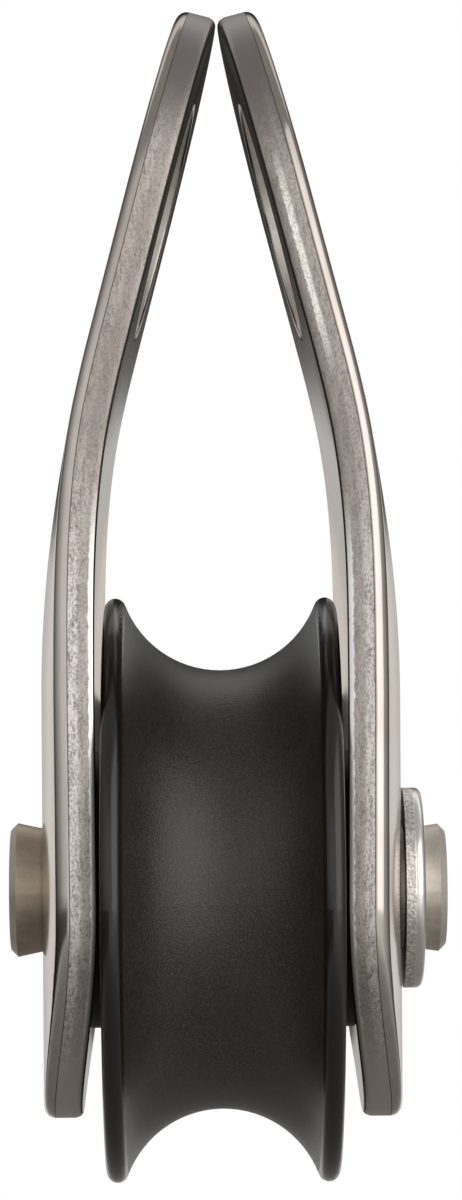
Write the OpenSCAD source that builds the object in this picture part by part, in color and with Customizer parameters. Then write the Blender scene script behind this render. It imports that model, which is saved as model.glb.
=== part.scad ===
// Rescue pulley: two formed side plates, one of which swings, and a grooved sheave on two sealed bearings.
// Frame: origin at the sheave's centre, axle along Y, +Z up towards the carabiner eyes. Millimetres.

/* [Sheave] */
// Diameter over the flanges
sheave_d = 47.5; // [44:0.1:54]
// Diameter at the bottom of the rope groove
tread_d = 35.7; // [33:0.1:40]
// Width over the flanges
sheave_w = 18.8; // [17:0.1:24]
// Rounding of the flange lips
lip_r = 0.85; // [0.5:0.05:1.2]
// Height of the shoulder that stops each bearing
shoulder_h = 1.3; // [0.6:0.1:2]

/* [Bearings] */
// Outer diameter of a bearing
bearing_od = 22; // [19:0.1:24]
// Width of a bearing
bearing_w = 6; // [5:0.1:7]
// Depth of a bearing below the side face of the sheave
bearing_recess = 0.2; // [0.1:0.05:0.5]
// Ball diameter
ball_d = 3.2; // [2.6:0.05:3.4]
// Balls in one bearing
ball_count = 9; // [7:1:10]
// Wall of the ball cage
cage_t = 0.8; // [0.5:0.05:1.1]
// Thickness of a bearing seal
seal_t = 0.4; // [0.3:0.05:0.6]
// Outer diameter of the sleeve between the bearings
spacer_d = 13.2; // [12:0.1:15]

/* [Axle and washers] */
// Axle diameter
axle_d = 10; // [9:0.1:11]
// Diameter of the upset left end
left_head_d = 10.9; // [10:0.1:13]
// Height of the left end above its plate
left_head_h = 2.7; // [1.5:0.1:4]
// Diameter of the upset right end
right_head_d = 10.4; // [10:0.1:13]
// Height of the right end above the retaining washer
right_head_h = 1.9; // [1.2:0.1:4]
// Chamfer round the axle ends
head_chamfer = 0.55; // [0.2:0.05:0.9]
// Outer diameter of the retaining washer
washer_d = 16.3; // [14:0.1:20]
// Thickness of the retaining washer
washer_t = 1.55; // [1:0.05:2.5]
// Rounding of the retaining washer's outer edge
washer_edge_r = 0.6; // [0.2:0.05:0.9]
// Outer diameter of the thrust washers
thrust_d = 22.5; // [19:0.1:26]
// Diameter of the land that bears on the side plate
thrust_land_d = 12; // [11.2:0.1:14]
// Chamfer round the thrust washers
thrust_chamfer = 0.25; // [0.1:0.05:0.5]

/* [Side plates] */
// Plate thickness
plate_t = 3.1; // [2.4:0.1:4]
// Radius of the round lower end, about the axle
plate_bottom_r = 18.5; // [17:0.1:21]
// Radius of the round upper end
plate_top_r = 17; // [14:0.1:19]
// Length from the axle to the upper end, along the plate
plate_length = 72.6; // [66:0.1:80]
// Angle at which the upper part leans towards the other plate
lean_angle = 14.7; // [13:0.1:17]
// Radius of the bend, at mid-thickness
bend_r = 92; // [70:1:110]
// How far the front and rear rims are pressed in towards the sheave
dish_depth = 1.75; // [1:0.05:2.2]
// Height up to which the rims keep the full dish
dish_full = 17; // [12:0.5:19]
// Length over which the dish fades out
dish_fade = 27; // [20:0.5:30]
// Rounding of the outer edge
edge_r = 0.85; // [0.6:0.05:1.4]
// Chamfer of the inner edge
edge_chamfer = 0.4; // [0.15:0.05:0.6]
// Diameter of the carabiner eye
eye_d = 19.5; // [16:0.1:21]
// Chamfer round both ends of the eye
eye_chamfer = 0.3; // [0.1:0.05:0.6]
// Distance of the eye from the axle, along the plate
eye_height = 55.6; // [52:0.1:58]

/* [Fits] */
// Radial slip between pieces that are pressed or slid together
slip = 0.02; // [0.01:0.01:0.04]
// Radial running clearance of the swinging plate on the axle
running = 0.05; // [0.02:0.01:0.1]
// Clearance of a ball in its races
ball_play = 0.02; // [0.01:0.01:0.04]
// Clearance of a ball in its cage, and of a seal on its inner ring
pocket_play = 0.1; // [0.06:0.01:0.14]
// Gap between the sheave's side faces and the thrust washers
side_gap = 0.15; // [0.1:0.05:0.3]
// Gap between the sheave's flanges and the rims of the plates
rim_gap = 0.2; // [0.15:0.05:0.6]
// Gap between a thrust washer's land and its plate
land_gap = 0.04; // [0.03:0.01:0.1]
// Gap between the swinging plate and the retaining washer
washer_gap = 0.3; // [0.1:0.05:0.5]
// Gap from each plate's tip to the mid-plane
tip_gap = 0.08; // [0.04:0.02:0.4]

/* [Hidden] */
$fn = 96;
LEFT = -1;
RIGHT = 1;
STEEL = [0.66, 0.64, 0.61];
BLACK = [0.11, 0.10, 0.10];
BRIGHT = [0.78, 0.78, 0.78];
RUBBER = [0.16, 0.16, 0.17];
NYLON = [0.72, 0.64, 0.45];

// Radii and places along the axle
axle_r = axle_d / 2;
side_y = sheave_w / 2;
bearing_face_y = side_y - bearing_recess;
bearing_y = bearing_face_y - bearing_w / 2;
spacer_half = bearing_face_y - bearing_w;
plate_y = side_y + rim_gap + dish_depth;
plate_out_y = plate_y + plate_t;
washer_y = plate_out_y + washer_gap;
washer_out_y = washer_y + washer_t;

// Bearing section
pitch_r = (axle_d + bearing_od) / 4;
land_h = 0.32 * ball_d;
race_r = 0.52 * ball_d;
inner_land_r = pitch_r - land_h;
outer_land_r = pitch_r + land_h;
seal_seat = 0.5;
seal_seat_r = outer_land_r + seal_seat;
seal_inset = 0.1;
cage_w = bearing_w - 2 * (seal_t + seal_inset) - 0.6;

// Rope groove: an arc that runs into the flange lips, short of tangent by a small land
lip_land = 0.01;
lip_y = side_y - lip_r;
lip_c = sheave_d / 2 - lip_r;
lip_rise = lip_c - tread_d / 2;
groove_r = (lip_rise * lip_rise + lip_y * lip_y - lip_r * lip_r) / (2 * (lip_r + lip_rise));
groove_cut_r = groove_r - lip_land;
groove_c = tread_d / 2 + groove_cut_r;

// Outline of a flat plate blank: two arcs about the axle and about the upper end, and their common tangents
lobe_s = plate_length - plate_top_r;
side_angle = asin((plate_bottom_r - plate_top_r) / lobe_s);
BOTTOM_STEPS = 14;
SIDE_STEPS = 18;
TOP_STEPS = 12;
ROWS = BOTTOM_STEPS + SIDE_STEPS + TOP_STEPS;
COLUMNS = 10;
FILLET_STEPS = 4;

// The bend starts where it brings the tips to the mid-plane
bend_arc = bend_r * lean_angle * PI / 180;
plate_mid_y = plate_y + plate_t / 2;
tip_fall = plate_mid_y - bend_r * (1 - cos(lean_angle)) - plate_t / 2 * cos(lean_angle) - tip_gap;
bend_start = plate_length - edge_chamfer - bend_arc - tip_fall / sin(lean_angle);

function smooth(x) = x * x * (3 - 2 * x);
function clamp01(x) = min(1, max(0, x));
function dish(u, s) =
    dish_depth * pow(abs(u) / plate_bottom_r, 3) * (1 - smooth(clamp01((s - dish_full) / dish_fade)));

// Place of a blank's point after dishing and bending: u across, s along, n through the thickness
function formed(u, s, n) =
    let (
        a = lean_angle * clamp01((s - bend_start) / bend_arc),
        rest = max(0, s - bend_start - bend_arc),
        d = n - plate_t / 2 - dish(u, s),
        y = plate_mid_y - bend_r * (1 - cos(a)) - rest * sin(a),
        z = min(s, bend_start) + bend_r * sin(a) + rest * cos(a)
    )
    [u, y + d * cos(a), z + d * sin(a)];

// Edge angle and outline point of row i, from the lower end up one side to the upper end
function edge_angle(i) =
    i <= BOTTOM_STEPS ? -90 + (90 + side_angle) * i / BOTTOM_STEPS :
    i <= BOTTOM_STEPS + SIDE_STEPS ? side_angle :
    side_angle + (90 - side_angle) * (i - BOTTOM_STEPS - SIDE_STEPS) / TOP_STEPS;
function along_side(i) = clamp01((i - BOTTOM_STEPS) / SIDE_STEPS);
function edge_point(i, inset) =
    let (
        a = edge_angle(i),
        k = along_side(i),
        r = plate_bottom_r + (plate_top_r - plate_bottom_r) * k - inset
    )
    [i % ROWS == 0 ? 0 : r * cos(a), lobe_s * k + r * sin(a)];

// Point of a face on row i, column j
function face_point(i, j, inset, n) =
    let (e = edge_point(i, inset))
    formed(e[0] * (2 * j / COLUMNS - 1), e[1], n);
// Point of the edge band, with the rows running up one side and down the other
function band_point(i, ring) =
    i <= ROWS ? face_point(i, COLUMNS, ring[0], ring[1]) : face_point(2 * ROWS - i, 0, ring[0], ring[1]);

function quad(a, b, c, d) = [[a, b, c], [a, c, d]];
function face_triangles(inset, n, flip) = [
    for (i = [0 : ROWS - 1], j = [0 : COLUMNS - 1])
        let (
            a = face_point(i, j, inset, n),
            b = face_point(i, j + 1, inset, n),
            c = face_point(i + 1, j + 1, inset, n),
            d = face_point(i + 1, j, inset, n),
            near = i == 0 ? [[a, c, d]] : i == ROWS - 1 ? [[a, b, c]] : quad(a, b, c, d)
        )
        for (t = near) flip ? [t[0], t[2], t[1]] : t
];

// Rings of the edge band, from the outer face round the fillet and down to the inner face
edge_rings = concat(
    [for (k = [0 : FILLET_STEPS])
        let (a = 90 * k / FILLET_STEPS)
        [edge_r * (1 - sin(a)), plate_t - edge_r * (1 - cos(a))]],
    [[0, edge_chamfer], [edge_chamfer, 0]]
);
function band_triangles() = [
    for (k = [0 : len(edge_rings) - 2], i = [0 : 2 * ROWS - 1])
        let (next = (i + 1) % (2 * ROWS))
        each quad(
            band_point(i, edge_rings[k]), band_point(i, edge_rings[k + 1]),
            band_point(next, edge_rings[k + 1]), band_point(next, edge_rings[k])
        )
];

// A solid from loose triangles
module from_triangles(triangles) {
    polyhedron(
        points = [for (t = triangles) each t],
        faces = [for (k = [0 : len(triangles) - 1]) [3 * k, 3 * k + 1, 3 * k + 2]]
    );
}

// A piece turned about the axle, from a profile in radius and Y
module turned() {
    rotate([-90, 0, 0]) rotate_extrude() children();
}

// Rectangle of a turned profile between two radii and two places along the axle
module band(r0, r1, y0, y1) {
    translate([r0, y0]) square([r1 - r0, y1 - y0]);
}

module mirrored(side) {
    mirror([0, side == LEFT ? 1 : 0, 0]) children();
}

module plate_blank() {
    from_triangles(concat(
        face_triangles(edge_r, plate_t, false),
        band_triangles(),
        face_triangles(edge_chamfer, 0, true)
    ));
}

module eye_cutter() {
    flare_h = eye_chamfer + 0.1;
    translate(formed(0, eye_height, plate_t / 2)) rotate([lean_angle - 90, 0, 0]) {
        cylinder(h = 3 * plate_t, d = eye_d, center = true);
        for (end = [0, 1]) mirror([0, 0, end]) translate([0, 0, plate_t / 2 - eye_chamfer])
            cylinder(h = flare_h, d1 = eye_d, d2 = eye_d + 2 * flare_h);
    }
}

module side_plate(side, clearance) {
    color(STEEL) mirrored(side) difference() {
        plate_blank();
        translate([0, plate_y - plate_t, 0])
            rotate([-90, 0, 0]) cylinder(h = 3 * plate_t, r = axle_r + clearance);
        eye_cutter();
    }
}

// What is cut off outside a flange lip's rounding
module lip_cutter(side) {
    cut_y = lip_y * groove_r / (groove_r + lip_r);
    mirror([0, side == LEFT ? 1 : 0]) difference() {
        band(lip_c, sheave_d / 2 + lip_r, cut_y, side_y + lip_r);
        translate([lip_c, lip_y]) circle(r = lip_r);
    }
}

module sheave() {
    bore_r = bearing_od / 2 - shoulder_h;
    pocket_r = bearing_od / 2 + slip;
    pocket = side_y - spacer_half;
    color(BLACK) turned() difference() {
        band(bore_r, sheave_d / 2, -side_y, side_y);
        translate([groove_c, 0]) circle(r = groove_cut_r);
        for (side = [LEFT, RIGHT]) lip_cutter(side);
        for (y = [-side_y, spacer_half]) band(0, pocket_r, y, y + pocket);
    }
}

module axle() {
    left_y = -plate_out_y;
    color(STEEL) turned() polygon([
        [0, left_y - left_head_h],
        [left_head_d / 2 - head_chamfer, left_y - left_head_h],
        [left_head_d / 2, left_y - left_head_h + head_chamfer],
        [axle_r, left_y],
        [axle_r, washer_out_y],
        [right_head_d / 2, washer_out_y + right_head_h - head_chamfer],
        [right_head_d / 2 - head_chamfer, washer_out_y + right_head_h],
        [0, washer_out_y + right_head_h]
    ]);
}

module retaining_washer() {
    edge_y = washer_out_y - washer_edge_r;
    edge_x = washer_d / 2 - washer_edge_r;
    color(STEEL) turned() {
        band(axle_r + slip, edge_x, washer_y, washer_out_y);
        band(axle_r + slip, washer_d / 2, washer_y, edge_y);
        translate([edge_x, edge_y]) circle(r = washer_edge_r);
    }
}

module thrust_washer(side) {
    nose_r = inner_land_r - pocket_play;
    body_y0 = side_y + side_gap;
    body_y1 = plate_y - dish(thrust_d / 2, 0) - land_gap;
    land_y = plate_y - dish(thrust_land_d / 2, 0) - land_gap;
    color(BLACK) mirrored(side) turned() polygon([
        [axle_r + slip, bearing_face_y],
        [nose_r, bearing_face_y],
        [nose_r, body_y0],
        [thrust_d / 2 - thrust_chamfer, body_y0],
        [thrust_d / 2, body_y0 + thrust_chamfer],
        [thrust_d / 2, body_y1 - thrust_chamfer],
        [thrust_d / 2 - thrust_chamfer, body_y1],
        [thrust_land_d / 2, body_y1],
        [thrust_land_d / 2, land_y],
        [axle_r + slip, land_y]
    ]);
}

module bearing_spacer() {
    color(BRIGHT) turned() band(axle_r + slip, spacer_d / 2, -spacer_half, spacer_half);
}

module at_bearing(side) {
    translate([0, side * bearing_y, 0]) children();
}

module inner_ring(side) {
    color(BRIGHT) at_bearing(side) turned() difference() {
        band(axle_r + slip, inner_land_r, -bearing_w / 2, bearing_w / 2);
        translate([pitch_r - ball_d / 2 - ball_play + race_r, 0]) circle(r = race_r);
    }
}

module outer_ring(side) {
    color(BRIGHT) at_bearing(side) turned() difference() {
        band(outer_land_r, bearing_od / 2, -bearing_w / 2, bearing_w / 2);
        translate([pitch_r + ball_d / 2 + ball_play - race_r, 0]) circle(r = race_r);
        for (end = [LEFT, RIGHT])
            translate([0, end * bearing_w / 2])
                band(0, seal_seat_r, -seal_t - seal_inset, seal_t + seal_inset);
    }
}

module at_balls() {
    for (k = [0 : ball_count - 1])
        rotate([0, k * 360 / ball_count, 0]) translate([pitch_r, 0, 0]) children();
}

module balls(side) {
    color(BRIGHT) at_bearing(side) at_balls() sphere(d = ball_d);
}

module cage(side) {
    color(NYLON) at_bearing(side) difference() {
        turned() band(pitch_r - cage_t / 2, pitch_r + cage_t / 2, -cage_w / 2, cage_w / 2);
        at_balls() rotate([0, 90, 0]) cylinder(h = 3 * cage_t, d = ball_d + 2 * pocket_play, center = true);
    }
}

module seal(side, end) {
    seal_y = end * (bearing_w / 2 - seal_inset - seal_t / 2);
    color(RUBBER) at_bearing(side) turned()
        band(inner_land_r + pocket_play, seal_seat_r, seal_y - seal_t / 2, seal_y + seal_t / 2);
}

side_plate(LEFT, slip);  // left_side_plate
side_plate(RIGHT, running);  // right_side_plate
sheave();
axle();
retaining_washer();
thrust_washer(LEFT);  // left_thrust_washer
thrust_washer(RIGHT);  // right_thrust_washer
bearing_spacer();
inner_ring(LEFT);  // left_bearing_inner_ring
outer_ring(LEFT);  // left_bearing_outer_ring
balls(LEFT);  // left_bearing_balls
cage(LEFT);  // left_bearing_cage
seal(LEFT, LEFT);  // left_outboard_seal
seal(LEFT, RIGHT);  // left_inboard_seal
inner_ring(RIGHT);  // right_bearing_inner_ring
outer_ring(RIGHT);  // right_bearing_outer_ring
balls(RIGHT);  // right_bearing_balls
cage(RIGHT);  // right_bearing_cage
seal(RIGHT, RIGHT);  // right_outboard_seal
seal(RIGHT, LEFT);  // right_inboard_seal
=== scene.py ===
import math
import bpy
from mathutils import Matrix, Vector


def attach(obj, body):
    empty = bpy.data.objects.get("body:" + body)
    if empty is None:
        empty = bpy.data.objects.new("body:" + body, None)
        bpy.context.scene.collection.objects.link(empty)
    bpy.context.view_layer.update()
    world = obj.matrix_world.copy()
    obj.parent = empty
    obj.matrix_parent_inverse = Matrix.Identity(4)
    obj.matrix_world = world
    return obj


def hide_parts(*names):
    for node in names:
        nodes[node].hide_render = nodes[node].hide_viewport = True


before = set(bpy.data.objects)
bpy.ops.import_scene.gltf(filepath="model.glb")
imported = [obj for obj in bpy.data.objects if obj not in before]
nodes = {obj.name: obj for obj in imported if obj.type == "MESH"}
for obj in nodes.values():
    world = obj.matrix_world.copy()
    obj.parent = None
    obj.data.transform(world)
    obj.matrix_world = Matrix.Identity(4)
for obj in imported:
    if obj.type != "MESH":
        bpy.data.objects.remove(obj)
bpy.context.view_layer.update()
mm = 0.001
print("frame loaded:", len(nodes), "nodes")


# a socket that plain arithmetic works on, and one method that adds any other node
class Wire:
    def __init__(self, tree, socket=None):
        self.tree = tree
        self.socket = socket

    def node(self, kind, settings=None, inputs=None, output=0):
        made = self.tree.nodes.new(kind)
        for name, value in (settings or {}).items():
            if name == "stops":
                fillRamp(made.color_ramp, value)
            else:
                setattr(made, name, value)
        for name, value in (inputs or {}).items():
            if isinstance(value, Wire):
                self.tree.links.new(value.socket, made.inputs[name])
            else:
                made.inputs[name].default_value = value
        return Wire(self.tree, made.outputs[output] if made.outputs else None)

    def maths(self, operation, first, second):
        return self.node("ShaderNodeMath", {"operation": operation}, {0: first, 1: second})

    def __add__(self, other):
        return self.maths("ADD", self, other)

    def __radd__(self, other):
        return self.maths("ADD", other, self)

    def __sub__(self, other):
        return self.maths("SUBTRACT", self, other)

    def __rsub__(self, other):
        return self.maths("SUBTRACT", other, self)

    def __mul__(self, other):
        return self.maths("MULTIPLY", self, other)

    def __rmul__(self, other):
        return self.maths("MULTIPLY", other, self)


def fillRamp(ramp, stops):
    while len(ramp.elements) < len(stops):
        ramp.elements.new(0.5)
    for element, (place, tone) in zip(ramp.elements, stops):
        element.position = place
        element.color = (tone, tone, tone, 1)


def step(value, low, high):  # 0 below low, 1 above high, smooth between
    return value.node("ShaderNodeMapRange", {"interpolation_type": "SMOOTHSTEP"},
                      {"Value": value, "From Min": low, "From Max": high})


def between(value, rise, fall):  # 1 from the end of the rise to the start of the fall
    return step(value, *rise) * (1 - step(value, *fall))


def tint(mask, first, second):  # a colour between two, by a mask
    tones = [tone if isinstance(tone, Wire) else (*tone, 1) for tone in (first, second)]
    return mask.node("ShaderNodeMix", {"data_type": "RGBA"}, {0: mask, 6: tones[0], 7: tones[1]}, 2)


def axisOf(place, axis):  # one coordinate of a vector
    split = place.node("ShaderNodeSeparateXYZ", None, {0: place})
    return Wire(place.tree, split.socket.node.outputs[axis])


def grain(place, scales, detail=4.0, rough=0.6):  # noise, stretched by a scale on each axis
    spread = place.node("ShaderNodeMapping", None, {"Vector": place, "Scale": scales})
    return place.node("ShaderNodeTexNoise", None,
                      {"Vector": spread, "Scale": 1.0, "Detail": detail, "Roughness": rough})


def bump(height, strength, distance):
    return height.node("ShaderNodeBump", None, {"Height": height, "Strength": strength, "Distance": distance})


def startMaterial(name):
    material = bpy.data.materials.new(name)
    material.use_nodes = True
    material.node_tree.nodes.clear()
    return material, Wire(material.node_tree).node("ShaderNodeTexCoord", output="Object")


def endMaterial(material, wire, **inputs):
    names = {"color": "Base Color", "rough": "Roughness", "metal": "Metallic", "normal": "Normal",
             "specular": "Specular IOR Level", "grazing": "Specular Tint"}
    shader = wire.node("ShaderNodeBsdfPrincipled", None, {names[key]: value for key, value in inputs.items()})
    wire.node("ShaderNodeOutputMaterial", None, {"Surface": shader})
    return material


# camera, fitted to the photograph
cameraAt = dict(target=(0, 0.91 * mm, 23.58 * mm), distance=337.3 * mm, yaw=-0.38, roll=0.36, view=16.54)


def addCamera(at):
    yaw, roll = math.radians(at["yaw"]), math.radians(at["roll"])
    back = Vector((math.cos(yaw), math.sin(yaw), 0))
    right = Vector((-math.sin(yaw), math.cos(yaw), 0))
    up = back.cross(right)
    side = right * math.cos(roll) - up * math.sin(roll)
    top = right * math.sin(roll) + up * math.cos(roll)
    bpy.ops.object.camera_add()
    made = bpy.context.object
    made.name = "mainCamera"
    made.data.sensor_fit = "VERTICAL"
    made.data.angle = math.radians(at["view"])
    made.data.clip_start = 0.01
    made.matrix_world = Matrix((side, top, back)).transposed().to_4x4()
    made.location = Vector(at["target"]) + back * at["distance"]
    bpy.context.scene.camera = made


addCamera(cameraAt)
print("camera placed")

# world: white behind the pulley, and a studio of white walls and dark gaps for the metal to mirror
studio = dict(fill=0.45, floorDrop=0.25, floorSize=1.6, floorSteps=96, aim=(0, 0, 0.02),
              walls=((0.0, 0.55), (0.01, 0.65), (0.03, 0.98), (0.06, 0.98), (0.09, 0.1), (0.2, 0.14), (0.4, 0.35),
                     (0.65, 0.58), (0.85, 0.85), (1.0, 0.9)),
              behind=(0.8, 0.92), gapLow=(0.018, 0.036), gapWide=(0.02, 0.09), gapDepth=0.95,
              dusk=(0.08, 0.3), duskDepth=0.6, below=(-0.12, 0.02), belowDepth=0.1, left=(0.1, 0.5), leftDepth=0.8,
              overhead=(0.35, 0.75), ceiling=0.42,
              stripHeight=((0.45, 0.6), (0.74, 0.84)), stripBack=(0.2, 0.4), strip=0.75,
              floorTones=((0.70, 0.70, 0.69), (0.76, 0.76, 0.75)),
              mirrorShadeTones=((0.36, 0.345, 0.33), (0.85, 0.85, 0.84)), mirrorShadeReach=(0.02, 0.6),
              lamps=(dict(name="keyLamp", at=(0.55, 0.51, 0.31), size=0.9, power=2.6),))


def addWorld(settings):
    world = bpy.data.worlds.new("studio")
    bpy.context.scene.world = world
    world.use_nodes = True
    world.node_tree.nodes.clear()
    wire = Wire(world.node_tree)
    ray = wire.node("ShaderNodeLightPath")
    facing = wire.node("ShaderNodeTexCoord", output="Generated")
    ahead = axisOf(facing, "X")
    beside = axisOf(facing, "Y")
    height = axisOf(facing, "Z")
    walls = wire.node("ShaderNodeValToRGB", {"stops": settings["walls"]}, {"Fac": ahead * 0.5 + 0.5})
    behind = step(0 - ahead, *settings["behind"])
    # dark gap over the back wall, and dusk higher up
    gap = behind * step(height, *settings["gapLow"]) * (1 - step(beside * beside, *settings["gapWide"]))
    dusk = behind * step(height, *settings["dusk"]) * settings["duskDepth"]
    # the walls fall off under the horizon, more on the left
    below = (1 - behind) * (1 - step(height, *settings["below"]))
    dim = 1 - below * (settings["belowDepth"] + settings["leftDepth"] * step(0 - beside, *settings["left"])) - dusk
    # ceiling, and a strip light above and behind
    overhead = step(height, *settings["overhead"])
    strip = between(height, *settings["stripHeight"]) * step(0 - ahead, *settings["stripBack"])
    shade = (walls * dim * (1 - settings["gapDepth"] * gap) * (1 - overhead)
             + overhead * settings["ceiling"] + strip * settings["strip"])
    seen = {name: Wire(wire.tree, ray.socket.node.outputs[name])
            for name in ("Is Camera Ray", "Is Glossy Ray", "Is Transmission Ray")}
    direct = wire.maths("MAXIMUM", seen["Is Camera Ray"], seen["Is Transmission Ray"])
    glossy = seen["Is Glossy Ray"] * (1 - direct)
    strength = direct + glossy * shade + (1 - direct) * (1 - glossy) * settings["fill"]
    light = wire.node("ShaderNodeBackground", None, {"Color": (1, 1, 1, 1), "Strength": strength})
    wire.node("ShaderNodeOutputWorld", None, {"Surface": light})


def addLamps(settings):
    for lamp in settings["lamps"]:
        bpy.ops.object.light_add(type="AREA", location=lamp["at"])
        made = bpy.context.object
        made.name = lamp["name"]
        made.data.size = lamp["size"]
        made.data.energy = lamp["power"]
        aim = Vector(settings["aim"]) - Vector(lamp["at"])
        made.rotation_euler = aim.to_track_quat("-Z", "Y").to_euler()


def addFloor(settings):
    bpy.ops.object.select_all(action="DESELECT")
    bpy.ops.mesh.primitive_circle_add(vertices=settings["floorSteps"], radius=settings["floorSize"] / 2,
                                      fill_type="NGON", location=(0, 0, -settings["floorDrop"]))
    floor = bpy.context.object
    floor.name = "studioFloor"
    bpy.ops.object.transform_apply(location=True)
    material, place = startMaterial("paleFloor")
    cloud = grain(place, (6, 6, 6))
    mirrored = Wire(place.tree, place.node("ShaderNodeLightPath").socket.node.outputs["Is Glossy Ray"])
    x, y = axisOf(place, "X"), axisOf(place, "Y")
    # painted shade: the floor as the metal mirrors it is darker under the pulley
    shadeInMetal = tint(step(x * x + y * y, *settings["mirrorShadeReach"]), *settings["mirrorShadeTones"])  # dim under the pulley
    endMaterial(material, place, color=tint(mirrored, tint(cloud, *settings["floorTones"]), shadeInMetal), rough=0.8)
    floor.data.materials.append(material)


addWorld(studio)
addLamps(studio)
addFloor(studio)
bpy.context.scene.view_settings.view_transform = "Standard"
print("studio lit")

# broad faces of the plates: satin rolled stainless, faintly clouded, browner towards the eyes, with painted shade
# on the inner faces near the tips
faceSteel = dict(dull=(0.51, 0.462, 0.415), clean=(0.63, 0.577, 0.525), inside=(0.13, 0.115, 0.105),
                 darkerTop=(0.25, 0.215, 0.19), darkerTopFrom=(0.036, 0.066), darkerTopDepth=0.45,
                 insideOnly=(0.05, 0.3), shadeInsideFrom=(0.057, 0.064), rough=(0.10, 0.17),
                 grazing=(0.86, 0.82, 0.79, 1))


def plateFaceFinish(look):
    material, place = startMaterial("plateFace")
    height = axisOf(place, "Z")
    across = place.node("ShaderNodeAttribute", {"attribute_name": "across"}, None, "Fac")
    cloud = grain(place, (90, 90, 60))
    brushed = grain(place, (1400, 1400, 260), 3.0)
    fine = grain(place, (4200, 4200, 4200), 2.0)
    plain = tint(step(cloud * 0.6 + brushed * 0.4, 0.3, 0.7), look["dull"], look["clean"])
    # darker and browner towards the top of the plate
    darkerTop = step(height + cloud * 0.006, *look["darkerTopFrom"]) * look["darkerTopDepth"]
    # painted shade: the inner face turns dark near the tips, where the two plates close in on each other
    inside = (1 - step(across, *look["insideOnly"])) * step(height + cloud * 0.004, *look["shadeInsideFrom"])
    color = tint(inside, tint(darkerTop, plain, look["darkerTop"]), look["inside"])
    low, high = look["rough"]
    return endMaterial(material, place, metal=1.0, color=color, rough=low + (high - low) * brushed,
                       grazing=look["grazing"],
                       normal=bump(brushed * 0.6 + fine * 0.4, 0.06, 0.00001))


# sheared edge of the plates: torn grain, lighter outer half, a ragged burr with a painted highlight, smooth at both
# ends
# zones by height are in metres, zones across the edge run from 0 at the inner face to 1 at the outer
blankedEdge = dict(pit=(0.25, 0.222, 0.20), outer=(0.89, 0.825, 0.775), inner=(0.56, 0.51, 0.47),
                   upperOuter=(0.53, 0.48, 0.435), upperInner=(0.42, 0.375, 0.34), sheenStreak=(1.0, 0.97, 0.90),
                   top=(0.29, 0.26, 0.25), bottom=(0.60, 0.545, 0.50), burrHighlight=(0.94, 0.92, 0.89),
                   darkLine=(0.12, 0.105, 0.09), tornFrom=(-0.016, -0.006), tornTo=(0.060, 0.069),
                   upperFrom=(0.022, 0.036), shadedTopFrom=(0.0, 0.03),
                   rubbedRight=((0.040, 0.047), (0.053, 0.060)), rubbedLeft=((0.024, 0.029), (0.033, 0.037)),
                   rubbedLeftDepth=0.15, shadedRight=0.28, shadedLeft=((0.034, 0.038), (0.043, 0.048)),
                   shadedLeftDepth=0.3,
                   outerHalf=(0.50, 0.62), sheenStreakAcross=((0.32, 0.38), (0.47, 0.56)),
                   burrFrom=(0.05, 0.07), burrTo=(0.23, 0.28), burrTop=(0.024, 0.034),
                   darkLineInner=(0.02, 0.05), darkLineOuter=(0.70, 0.715))


def plateEdgeFinish(look):
    material, place = startMaterial("plateEdge")
    across = place.node("ShaderNodeAttribute", {"attribute_name": "across"}, None, "Fac")
    height = axisOf(place, "Z")
    right = step(axisOf(place, "Y"), -0.0005, 0.0005)
    coarse = grain(place, (1300, 1300, 900), 3.0)
    fine = grain(place, (5600, 5600, 4200), 4.0, 0.75)
    drawn = grain(place, (3000, 3000, 500), 3.0)  # marks drawn along the plate
    ragged = grain(place, (900, 900, 1500), 3.0)
    torn = step(height, *look["tornFrom"]) * (1 - step(height + ragged * 0.006, *look["tornTo"]))
    solid = step(fine * 0.6 + drawn * 0.3 + coarse * 0.1, 0.36, 0.58)
    upper = step(height, *look["upperFrom"])
    lit = tint(step(across + ragged * 0.2, *look["outerHalf"]), tint(upper, look["inner"], look["upperInner"]),
               tint(upper, look["outer"], look["upperOuter"]))
    shaded = (right * (1 - upper * 0.5) * look["shadedRight"]
              + (1 - right) * between(height, *look["shadedLeft"]) * look["shadedLeftDepth"])
    # where a carabiner rubs: burnished wear, with a painted highlight streak along it
    rubbedSheen = (right * between(height, *look["rubbedRight"])
              + (1 - right) * between(height, *look["rubbedLeft"]) * look["rubbedLeftDepth"])
    wornAndGlint = across + ragged * 0.08 + fine * 0.08
    # painted highlight: a near-white streak on the rubbed band
    sheenStreak = between(wornAndGlint, *look["sheenStreakAcross"]) * rubbedSheen * (0.5 + 0.5 * step(fine, 0.40, 0.55))
    grainy = tint(sheenStreak, tint(solid, look["pit"], tint(shaded, lit, look["pit"])), look["sheenStreak"])
    # the ragged burr along the inner corner; its near-white colour is a painted highlight
    burrHighlight = (step(across, *look["burrFrom"]) * (1 - step(across + ragged * 0.14, *look["burrTo"]))
            * torn * (1 - step(height, *look["burrTop"])))
    # painted dark lines of reflection: one beside the burr at the inner face, one where the edge meets the rounded
    # outer corner
    darkLine = 1 - step(across, *look["darkLineInner"]) * (1 - step(across + ragged * 0.012, *look["darkLineOuter"]))
    # the two ends of the edge: lighter at the bottom; the top end is painted darker, shade where the edge turns
    # over at the tips
    ends = tint(step(height, *look["shadedTopFrom"]), look["bottom"], look["top"])
    body = tint(burrHighlight, tint(torn, ends, grainy), look["burrHighlight"])
    return endMaterial(material, place, color=tint(darkLine, body, look["darkLine"]), metal=1.0, rough=0.42 - 0.12 * burrHighlight,
                       normal=bump((coarse * 0.2 + drawn * 0.2 + fine * 0.6) * torn, 0.6, 0.00005))


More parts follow.
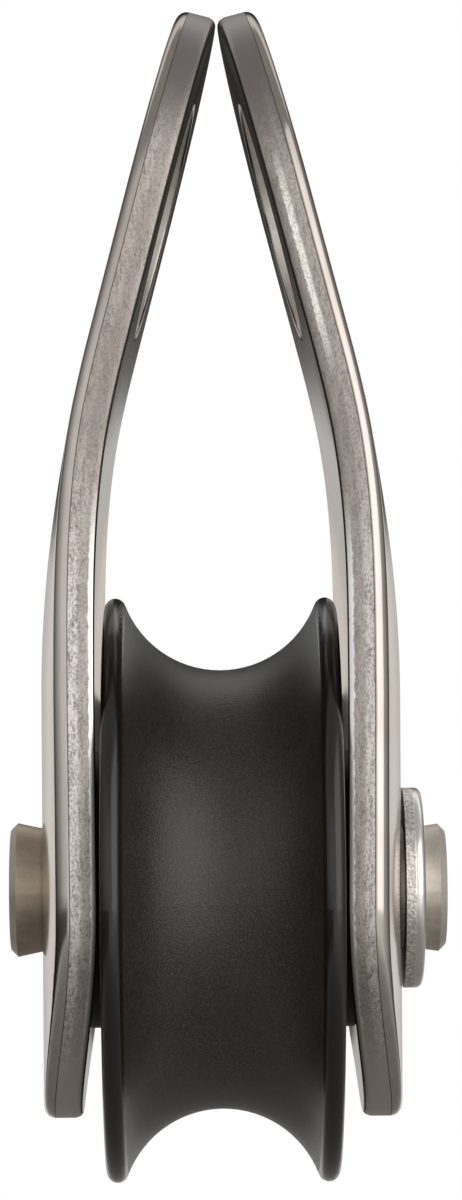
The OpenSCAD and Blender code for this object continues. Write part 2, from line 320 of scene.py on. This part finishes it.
# bored wall of the carabiner eye, dull from use
boredSteel = dict(dull=(0.60, 0.56, 0.51), clean=(0.75, 0.70, 0.64))


def eyeWallFinish(look):
    material, place = startMaterial("eyeWall")
    cloud = grain(place, (400, 400, 400))
    marks = grain(place, (300, 2600, 300), 3.0)
    color = tint(step(cloud, 0.3, 0.7), look["dull"], look["clean"])
    return endMaterial(material, place, color=color, metal=1.0, rough=0.46 + 0.1 * cloud,
                       normal=bump(marks, 0.2, 0.00003))


# axle: turned steel, olive and dull on the fixed end, cleaner on the other, lighter at the corners
turnedSteel = dict(leftDull=(0.50, 0.43, 0.34), leftClean=(0.64, 0.555, 0.45), rightDull=(0.60, 0.54, 0.475),
                   rightClean=(0.76, 0.695, 0.62), corner=(0.66, 0.61, 0.565), cornerDepth=0.6,
                   leftCorner=(0.0165, 0.0167), rightCorner=(0.0176, 0.0178))


def axleFinish(look):
    material, place = startMaterial("axleSteel")
    along = axisOf(place, "Y")
    cloud = grain(place, (420, 420, 420), 4.0)
    scratch = grain(place, (2600, 260, 2600), 3.0)
    fine = grain(place, (5200, 5200, 5200), 2.0)
    mask = step(cloud * 0.5 + scratch * 0.25 + fine * 0.25, 0.36, 0.64)
    ends = tint(step(along, -0.004, 0.004), tint(mask, look["leftDull"], look["leftClean"]),
                tint(mask, look["rightDull"], look["rightClean"]))
    corner = step(0 - along, *look["leftCorner"]) + step(along, *look["rightCorner"])
    return endMaterial(material, place, color=tint(corner * look["cornerDepth"], ends, look["corner"]), metal=1.0,
                       rough=0.4 + 0.12 * cloud, normal=bump(scratch * 0.4 + fine * 0.6, 0.25, 0.00004))


# retaining washer: blanked, with a rough pitted rim and a cleaner rounded face
blankedWasher = dict(pit=(0.58, 0.545, 0.515), rim=(0.96, 0.91, 0.87), dull=(0.78, 0.73, 0.68),
                     clean=(0.88, 0.835, 0.79), rimEnd=(0.0156, 0.0157))


def washerFinish(look):
    material, place = startMaterial("washerSteel")
    cloud = grain(place, (300, 300, 300), 4.0)
    fine = grain(place, (4200, 4200, 4200), 2.0)
    ragged = grain(place, (1500, 1500, 1500), 3.0)
    rim = 1 - step(axisOf(place, "Y") + ragged * 0.0003, *look["rimEnd"])
    torn = tint(step(fine, 0.42, 0.62), look["pit"], look["rim"])
    face = tint(step(cloud, 0.35, 0.65), look["dull"], look["clean"])
    return endMaterial(material, place, color=tint(rim, face, torn), metal=1.0, rough=0.3 + 0.14 * rim,
                       normal=bump(fine * (0.15 + 0.85 * rim), 0.6, 0.00006))


# sheave: black anodised aluminium with a fine bumped sparkle and lighter flecks painted in as glints; smoother at
# the lips
anodisedBlack = dict(deep=(0.010, 0.0078, 0.006), wornAndGlint=(0.064, 0.053, 0.0435),
                     lipFrom=(0.0228 ** 2, 0.0232 ** 2))


def sheaveFinish(look):
    material, place = startMaterial("sheaveBlack")
    cloud = grain(place, (180, 180, 180), 4.0)
    fine = grain(place, (6600, 6600, 6600), 2.0, 0.6)
    glintSpeck = step(fine, 0.42, 0.68)
    x, z = axisOf(place, "X"), axisOf(place, "Z")
    lip = step(x * x + z * z, *look["lipFrom"])
    # the lighter flecks are painted glints; the cloud is the anodising's own uneven tone
    color = tint((cloud * 0.4 + glintSpeck * 0.6) * (1 - lip), look["deep"], look["wornAndGlint"])
    return endMaterial(material, place, color=color, rough=0.3 + 0.1 * cloud - 0.16 * lip, specular=0.6,
                       normal=bump(fine * (1 - 0.8 * lip), 1.0, 0.00004))


# moulded and ground pieces of the hub
hubLooks = dict(
    thrustBlack=dict(dark=(0.008, 0.008, 0.008), light=(0.018, 0.017, 0.016),
                     scale=1800, rough=0.45, metal=0.0, depth=0.00003),
    bearingSteel=dict(dark=(0.52, 0.52, 0.52), light=(0.62, 0.62, 0.61),
                      scale=2400, rough=0.14, metal=1.0, depth=0.00001),
    cageNylon=dict(dark=(0.55, 0.52, 0.44), light=(0.64, 0.61, 0.53),
                   scale=1200, rough=0.42, metal=0.0, depth=0.00003),
    sealRubber=dict(dark=(0.012, 0.012, 0.012), light=(0.024, 0.023, 0.022),
                    scale=1500, rough=0.5, metal=0.0, depth=0.00003))


def hubFinish(name, look):
    material, place = startMaterial(name)
    cloud = grain(place, (look["scale"],) * 3, 4.0)
    color = tint(step(cloud, 0.3, 0.7), look["dark"], look["light"])
    return endMaterial(material, place, color=color, metal=look["metal"], rough=look["rough"] + 0.12 * cloud,
                       normal=bump(cloud, 0.2, look["depth"]))


plateFace = plateFaceFinish(faceSteel)
plateEdge = plateEdgeFinish(blankedEdge)
eyeWall = eyeWallFinish(boredSteel)
hub = {name: hubFinish(name, look) for name, look in hubLooks.items()}

# every node of the frame, by the end of its name; the bearings' rings, balls and spacer are what is left
dressing = dict(axle=axleFinish(turnedSteel), retaining_washer=washerFinish(blankedWasher),
                sheave=sheaveFinish(anodisedBlack), thrust_washer=hub["thrustBlack"], side_plate=plateFace,
                cage=hub["cageNylon"], seal=hub["sealRubber"])
print("finishes made")
for name, node in nodes.items():
    found = [material for ending, material in dressing.items() if name.endswith(ending)]
    node.data.materials.clear()
    node.data.materials.append(found[0] if found else hub["bearingSteel"])
print("nodes dressed")

# side plates: a flat blank is cut, edged and drilled in millimetres, then pressed to its form
plate = dict(thick=3.1, bottomR=18.5, topR=17.0, length=72.6, innerY=11.35, lean=14.7, bendR=92.0, tipGap=0.08,
             dish=1.75, dishFull=17.0, dishFade=27.0, round=0.85, roundSteps=7, chamfer=0.4,
             edgeSteps=((0.16, 0.42), (0.24, 0.18)), drop=0.6, eyeR=9.75, eyeAt=55.6, leftHole=5.02, rightHole=5.05,
             holeEdge=0.3, holeMargin=0.1, holeSteps=144, flareSteps=4, weld=0.004, outlineSteps=216, sideSteps=54,
             cellLong=1.2, cellWide=1.5, cellMargin=0.5, flat=1e-3, crease=32)


def selectFaces(mesh, wanted):
    bpy.ops.object.mode_set(mode="OBJECT")
    for face in mesh.polygons:
        face.select = wanted(face)
    for edge in mesh.edges:
        edge.select = False
    for vertex in mesh.vertices:
        vertex.select = False
    for face in mesh.polygons:
        if face.select:
            for index in face.vertices:
                mesh.vertices[index].select = True
    bpy.ops.object.mode_set(mode="EDIT")
    bpy.ops.mesh.select_mode(type="FACE")


def cutBlank(size):
    lobe = size["length"] - size["topR"]
    bpy.ops.object.select_all(action="DESELECT")
    bpy.ops.mesh.primitive_circle_add(vertices=size["outlineSteps"], radius=size["bottomR"], fill_type="NGON")
    blank = bpy.context.object
    for vertex in blank.data.vertices:  # upper half becomes the smaller top end
        if vertex.co.y > 1e-4:
            ratio = size["topR"] / size["bottomR"]
            vertex.co.x *= ratio
            vertex.co.y = vertex.co.y * ratio + lobe
    for edge in blank.data.edges:  # the two long sides get as many steps as the press needs
        first, second = (blank.data.vertices[index].co for index in edge.vertices)
        edge.select = (first - second).length > lobe / 2
    for vertex in blank.data.vertices:
        vertex.select = False
    for face in blank.data.polygons:
        face.select = False
    bpy.ops.object.mode_set(mode="EDIT")
    bpy.ops.mesh.select_mode(type="EDGE")
    bpy.ops.mesh.subdivide(number_cuts=size["sideSteps"])
    bpy.ops.mesh.select_all(action="SELECT")
    wall = size["thick"] - size["drop"] - size["round"]
    bpy.ops.mesh.extrude_region_move(TRANSFORM_OT_translate={"value": (0, 0, wall)})
    selectFaces(blank.data, lambda face: face.center.z > wall - size["flat"])
    for index in range(size["roundSteps"]):  # rounded outer edge, one inset ring at a time
        first = math.pi / 2 * index / size["roundSteps"]
        second = math.pi / 2 * (index + 1) / size["roundSteps"]
        bpy.ops.mesh.inset(thickness=size["round"] * (math.cos(first) - math.cos(second)),
                           depth=size["round"] * (math.sin(second) - math.sin(first)))
    return blank


def edgeInside(blank, size):  # inner edge, a steep burr facet and a flatter one
    bpy.ops.mesh.select_all(action="SELECT")
    bpy.ops.mesh.normals_make_consistent(inside=False)
    selectFaces(blank.data, lambda face: face.center.z < size["flat"] and face.normal.z < -0.9)
    for inset, depth in size["edgeSteps"]:
        bpy.ops.mesh.inset(thickness=inset, depth=depth)


def gridFaces(blank, size):  # cross cuts through the two broad faces, for the press to bend
    top = size["thick"] - size["drop"]
    lines = []
    place = -size["bottomR"] + size["cellLong"]
    while place < size["length"] - size["cellMargin"]:
        lines.append(((0, place, 0), (0, 1, 0)))
        place += size["cellLong"]
    place = -size["bottomR"] + size["cellWide"]
    while place < size["bottomR"] - size["cellMargin"]:
        lines.append(((place, 0, 0), (1, 0, 0)))
        place += size["cellWide"]
    for point, normal in lines:
        selectFaces(blank.data, lambda face: abs(face.normal.z) > 0.98
                    and (face.center.z > top - size["flat"] or face.center.z < size["flat"] - size["drop"]))
        bpy.ops.mesh.bisect(plane_co=point, plane_no=normal, threshold=1e-4)
    bpy.ops.object.mode_set(mode="OBJECT")


def drill(blank, size, at, radius):  # a round cutter, flared at both ends to round the hole's edges
    edge = size["holeEdge"]
    bpy.ops.object.select_all(action="DESELECT")
    middle = size["thick"] / 2 - size["drop"]
    bpy.ops.mesh.primitive_cylinder_add(vertices=size["holeSteps"], radius=radius, depth=size["thick"] - 2 * edge,
                                        location=(0, at, middle))
    cutter = bpy.context.object
    bpy.ops.object.transform_apply(location=True)
    for sign in (1, -1):
        bpy.ops.object.mode_set(mode="EDIT")
        selectFaces(cutter.data, lambda face: face.normal.z * sign > 0.9)
        reach = radius
        for index in range(size["flareSteps"]):
            first = math.pi / 2 * index / size["flareSteps"]
            second = math.pi / 2 * (index + 1) / size["flareSteps"]
            wider = reach + edge * (math.cos(first) - math.cos(second))
            rise = edge * (math.sin(second) - math.sin(first))
            bpy.ops.mesh.extrude_region_move(TRANSFORM_OT_translate={"value": (0, 0, rise * sign)})
            bpy.ops.transform.resize(value=(wider / reach, wider / reach, 1), center_override=(0, at, 0))
            reach = wider
        bpy.ops.mesh.extrude_region_move(TRANSFORM_OT_translate={"value": (0, 0, sign)})
        bpy.ops.object.mode_set(mode="OBJECT")
    cut = blank.modifiers.new("hole", "BOOLEAN")
    cut.operation = "DIFFERENCE"
    cut.solver = "EXACT"
    cut.object = cutter
    bpy.ops.object.select_all(action="DESELECT")
    blank.select_set(True)
    bpy.context.view_layer.objects.active = blank
    bpy.ops.object.modifier_apply(modifier=cut.name)
    bpy.data.objects.remove(cutter)


def inHole(place, size, holes):  # inside a hole or on its rounded edge
    reach = size["holeEdge"] + size["holeMargin"]
    return any(math.hypot(place.x, place.y - at) < radius + reach for at, radius in holes)


def cleanHoles(blank, size, holes):  # no slivers, and a crease where a hole's rounded edge meets the broad face
    bpy.ops.object.mode_set(mode="EDIT")
    bpy.ops.mesh.select_all(action="SELECT")
    bpy.ops.mesh.remove_doubles(threshold=size["weld"])
    bpy.ops.mesh.dissolve_degenerate(threshold=size["weld"])
    bpy.ops.object.mode_set(mode="OBJECT")
    beside = {}
    for face in blank.data.polygons:
        for key in face.edge_keys:
            beside.setdefault(key, []).append(abs(face.normal.z) > 0.999)
    for edge in blank.data.edges:
        middle = sum((blank.data.vertices[index].co for index in edge.vertices), Vector()) / 2
        edge.use_edge_sharp = inHole(middle, size, holes) and len(set(beside[edge.key])) == 2


def pressPlate(blank, size, side):  # side is 1 for the right plate, -1 for the left
    lean = math.radians(size["lean"])
    arc = size["bendR"] * lean
    middleY = size["innerY"] + size["thick"] / 2
    fall = (middleY - size["bendR"] * (1 - math.cos(lean)) - size["thick"] / 2 * math.cos(lean) - size["tipGap"])
    bendStart = size["length"] - size["chamfer"] - arc - fall / math.sin(lean)
    across = blank.data.attributes.new("across", "FLOAT", "POINT")
    for vertex in blank.data.vertices:
        wide, along, out = vertex.co.x, vertex.co.y, vertex.co.z + size["drop"]
        across.data[vertex.index].value = out / size["thick"]
        fade = min(1, max(0, (along - size["dishFull"]) / size["dishFade"]))
        dish = size["dish"] * (abs(wide) / size["bottomR"]) ** 3 * (1 - fade * fade * (3 - 2 * fade))
        turn = lean * min(1, max(0, (along - bendStart) / arc))
        rest = max(0, along - bendStart - arc)
        off = out - size["thick"] / 2 - dish
        y = middleY - size["bendR"] * (1 - math.cos(turn)) - rest * math.sin(turn) + off * math.cos(turn)
        z = min(along, bendStart) + size["bendR"] * math.sin(turn) + rest * math.cos(turn) + off * math.sin(turn)
        vertex.co = (wide * mm, y * mm * side, z * mm)
    bpy.ops.object.mode_set(mode="EDIT")
    bpy.ops.mesh.select_all(action="SELECT")
    bpy.ops.mesh.normals_make_consistent(inside=False)
    bpy.ops.object.mode_set(mode="OBJECT")


def makePlate(name, node, body, side, axleHole, size):
    blank = cutBlank(size)
    edgeInside(blank, size)
    gridFaces(blank, size)
    holes = ((size["eyeAt"], size["eyeR"]), (0, axleHole))
    for at, radius in holes:
        drill(blank, size, at, radius)
    cleanHoles(blank, size, holes)
    blank.name = name
    for material in (plateFace, plateEdge, eyeWall):
        blank.data.materials.append(material)
    rim = size["thick"] - size["drop"] - size["round"]
    for face in blank.data.polygons:
        bored = inHole(face.center, size, holes)
        edge = abs(face.normal.z) < 0.9 and face.center.z < rim - size["flat"] and not bored
        face.material_index = 1 if edge else 2 if bored and abs(face.normal.z) < 0.3 else 0
    pressPlate(blank, size, side)
    bpy.ops.object.shade_smooth_by_angle(angle=math.radians(size["crease"]))
    even = blank.modifiers.new("evenNormals", "WEIGHTED_NORMAL")
    even.keep_sharp = True
    bpy.ops.object.modifier_apply(modifier=even.name)
    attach(blank, body)
    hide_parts(node)
    print(name, len(blank.data.polygons), "faces")


makePlate("leftPlate", "left_side_plate", "fixed_plate", -1, plate["leftHole"], plate)
makePlate("rightPlate", "right_side_plate", "swinging_plate", 1, plate["rightHole"], plate)
